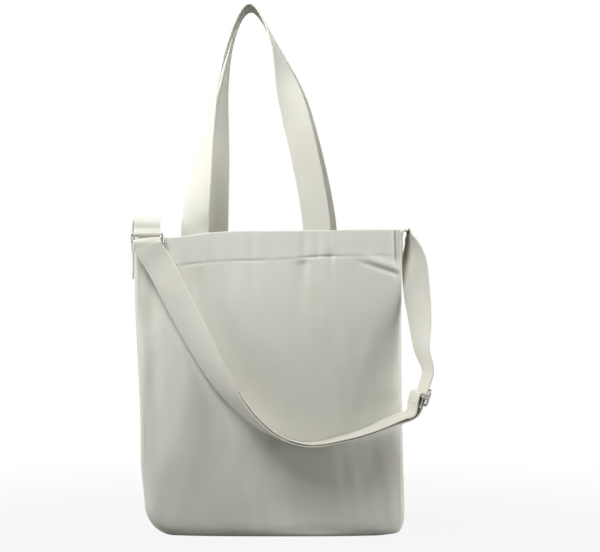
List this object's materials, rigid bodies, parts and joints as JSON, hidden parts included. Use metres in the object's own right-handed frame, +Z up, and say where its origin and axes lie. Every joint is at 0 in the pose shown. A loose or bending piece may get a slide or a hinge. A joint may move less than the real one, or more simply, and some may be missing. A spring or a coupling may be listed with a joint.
{
  "type": "canvas tote bag",
  "caption": "Upright canvas tote bag with two hand loops and an adjustable crossbody strap held by a ring on one side.",
  "frame": {"origin": "middle of the flat base, on the surface the bag stands on", "axes": "+Z up, +X to the right seen from the front, +Y from the front panel to the back panel"},
  "size_m": [0.4019, 0.1257, 0.6992],
  "materials": {
    "canvas": "natural cotton canvas",
    "strap_canvas": "natural cotton canvas strap",
    "thread": "cotton sewing thread",
    "nickel": "dull nickel plate"
  },
  "bodies": {
    "bag": {"front_panel": "canvas", "back_panel": "canvas", "base_strip": "canvas", "left_side_strip": "canvas", "right_side_strip": "canvas", "left_side_hem": "canvas", "right_side_hem": "canvas", "front_hem": "canvas", "back_hem": "canvas", "front_handle_left_end": "strap_canvas", "front_handle_right_end": "strap_canvas", "back_handle_left_end": "strap_canvas", "back_handle_right_end": "strap_canvas", "strap_sewn_end": "strap_canvas", "ring_tab": "strap_canvas", "front_hem_thread": "thread", "back_hem_thread": "thread", "front_seam_thread": "thread", "back_seam_thread": "thread", "front_handle_tacks": "thread", "back_handle_tacks": "thread", "strap_end_tack": "thread", "ring_tab_tack": "thread"},
    "front_loop": {"front_handle": "strap_canvas"},
    "back_loop": {"back_handle": "strap_canvas"},
    "strap": {"crossbody_strap": "strap_canvas", "rectangular_ring": "nickel"},
    "slider": {"strap_slider": "nickel", "strap_end_fold": "strap_canvas", "strap_fold_tack": "thread"}
  },
  "joints": [
    {"name": "front_handle_fold", "type": "hinge", "parent": "bag", "child": "front_loop", "pos_m": [0, -0.0365, 0.4], "axis": [1, 0, 0], "range_deg": [0, 150]},
    {"name": "back_handle_fold", "type": "hinge", "parent": "bag", "child": "back_loop", "pos_m": [0, 0.0365, 0.4], "axis": [-1, 0, 0], "range_deg": [0, 150]},
    {"name": "strap_swing", "type": "hinge", "parent": "bag", "child": "strap", "pos_m": [-0.157, -0.046, 0.397], "axis": [-0.9944, -0.1053, 0], "range_deg": [0, 140]},
    {"name": "slider_slide", "type": "slide", "parent": "strap", "child": "slider", "axis": [0.309, 0, 0.9511], "range_m": [0, 0.012]}
  ]
}
